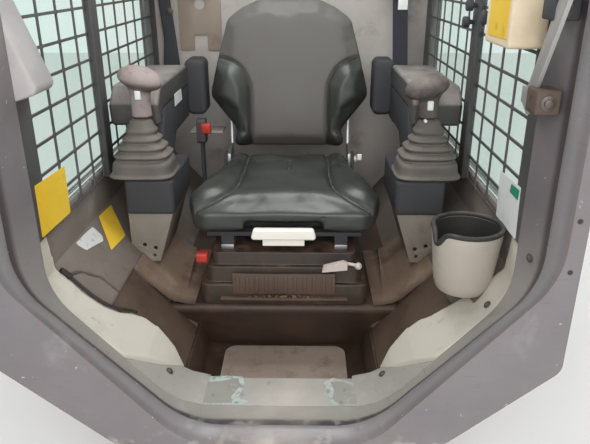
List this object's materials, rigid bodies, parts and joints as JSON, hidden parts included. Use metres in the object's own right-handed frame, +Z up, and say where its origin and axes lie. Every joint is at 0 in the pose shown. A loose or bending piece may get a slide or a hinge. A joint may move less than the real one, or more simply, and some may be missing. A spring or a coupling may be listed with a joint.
{
  "type": "skid steer loader operator cab",
  "caption": "Open-fronted operator cab of a skid steer loader: guard frame with side screens, seat, lever consoles, footwell, restraint bar and roof hatch.",
  "frame": {"origin": "on the surface that the cab stands on, below the middle of its bounding box", "axes": "+X to the right when looking into the open front, +Y to the rear, +Z up; the open front faces -Y"},
  "size_m": [0.98, 1.3, 1.43],
  "materials": {
    "grey_paint": "worn grey paint with scratches and rust spots",
    "dark_floor_paint": "dark paint under brown dirt",
    "clear_glass": "clear with a faint green tint",
    "black_screen_paint": "satin black",
    "pale_bracket_paint": "light grey satin",
    "black_plastic": "moulded black, dusty",
    "black_rubber": "matte black",
    "black_vinyl": "grained black vinyl with soft sheen",
    "pale_plastic": "light grey, scuffed",
    "cream_plastic": "cream white, worn",
    "steel": "bare steel, dull",
    "black_bar_paint": "satin black",
    "belt_webbing": "dark woven webbing"
  },
  "bodies": {
    "cab": {"front_frame": "grey_paint", "sill_step": "grey_paint", "footwell": "dark_floor_paint", "foot_plate": "dark_floor_paint", "seat_platform": "dark_floor_paint", "lower_panel_right": "grey_paint", "lower_panel_left": "grey_paint", "side_wall_right": "grey_paint", "side_wall_left": "grey_paint", "window_frame_right": "grey_paint", "window_frame_left": "grey_paint", "window_glass_right": "clear_glass", "window_glass_left": "clear_glass", "screen_right": "black_screen_paint", "screen_left": "black_screen_paint", "window_post_right": "black_screen_paint", "window_post_left": "black_screen_paint", "rear_leg_right": "grey_paint", "rear_leg_left": "grey_paint", "base_rail_right": "grey_paint", "base_rail_left": "grey_paint", "console_bracket_right": "pale_bracket_paint", "console_bracket_left": "pale_bracket_paint", "console_right": "black_plastic", "console_left": "black_plastic", "armrest_right": "black_plastic", "armrest_left": "black_plastic", "lever_right": "black_plastic", "lever_left": "black_plastic", "rear_wall": "grey_paint", "rear_glass": "clear_glass", "roof": "grey_paint", "roof_glass": "clear_glass", "seat_base": "black_plastic", "seat_rails": "steel", "bar_pivots": "dark_floor_paint", "lever_boots": "black_rubber", "trim_left": "pale_plastic", "trim_right": "pale_plastic", "cup_holder": "pale_plastic", "cup_liner": "black_rubber", "pillar_pod": "grey_paint", "grab_handle": "pale_bracket_paint", "side_box": "pale_plastic", "window_latches": "black_plastic", "rear_plate": "pale_bracket_paint", "rear_pads": "black_rubber", "seat_controls": "cream_plastic", "belt_reel": "black_plastic", "belt_strap": "belt_webbing"},
    "seat": {"seat_pan": "steel", "seat_cushion": "black_vinyl", "release_handle": "cream_plastic", "recline_lever": "cream_plastic", "belt_buckle": "black_plastic"},
    "backrest": {"backrest_cushion": "black_vinyl", "backrest_shell": "black_plastic", "backrest_brackets": "steel"},
    "restraint_bar": {"restraint_bar": "black_bar_paint", "bar_pad": "black_rubber"}
  },
  "joints": [
    {"name": "seat_slide", "type": "slide", "parent": "cab", "child": "seat", "axis": [0, 1, 0], "range_m": [-0.095, 0.03]},
    {"name": "backrest_recline", "type": "hinge", "parent": "seat", "child": "backrest", "pos_m": [0, 0.3, 0.47], "axis": [-1, 0, 0], "range_deg": [-5, 12]},
    {"name": "restraint_bar_swing", "type": "hinge", "parent": "cab", "child": "restraint_bar", "pos_m": [0, 0.45, 1], "axis": [1, 0, 0], "range_deg": [0, 70]}
  ]
}
